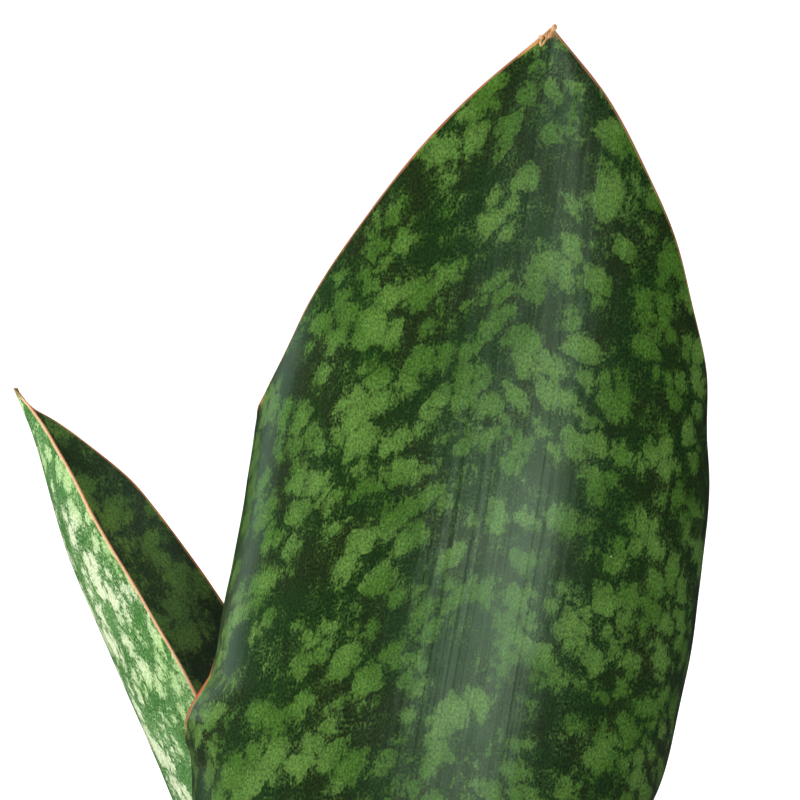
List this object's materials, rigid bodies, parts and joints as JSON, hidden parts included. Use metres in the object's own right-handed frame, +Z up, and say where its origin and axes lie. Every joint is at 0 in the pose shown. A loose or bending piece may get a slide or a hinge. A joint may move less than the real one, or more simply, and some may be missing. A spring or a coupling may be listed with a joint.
{
  "type": "potted snake plant",
  "caption": "Broad-leaved snake plant in a plain tapered pot: one wide mottled paddle leaf, one narrow folded leaf, sheaths, rhizome, roots and potting mix.",
  "frame": {"origin": "centre of the pot's flat underside", "axes": "+Z up along the pot's axis, +X to the viewer's right with the broad leaf's outer face towards the viewer, -Y towards the viewer"},
  "size_m": [0.2412, 0.1976, 0.58],
  "materials": {
    "pot": "matt, evenly coloured, unglazed clay look",
    "potting_mix": "loose dark fibres and crumbs",
    "rhizome": "corky skin",
    "leaf_main": "waxy, dark green with lighter mottles, reddish margin",
    "leaf_second": "waxy, green with pale mottles, tan margin",
    "sheath": "dull, drying at the tip",
    "root": "dull, fleshy"
  },
  "bodies": {
    "root": {"pot": "pot", "potting_mix": "potting_mix", "rhizome": "rhizome", "leaf_main": "leaf_main", "leaf_second": "leaf_second", "sheath_front": "sheath", "sheath_outer": "sheath", "sheath_back": "sheath", "root_1": "root", "root_2": "root", "root_3": "root", "root_4": "root", "root_5": "root", "root_6": "root", "root_7": "root", "root_8": "root"}
  },
  "joints": []
}
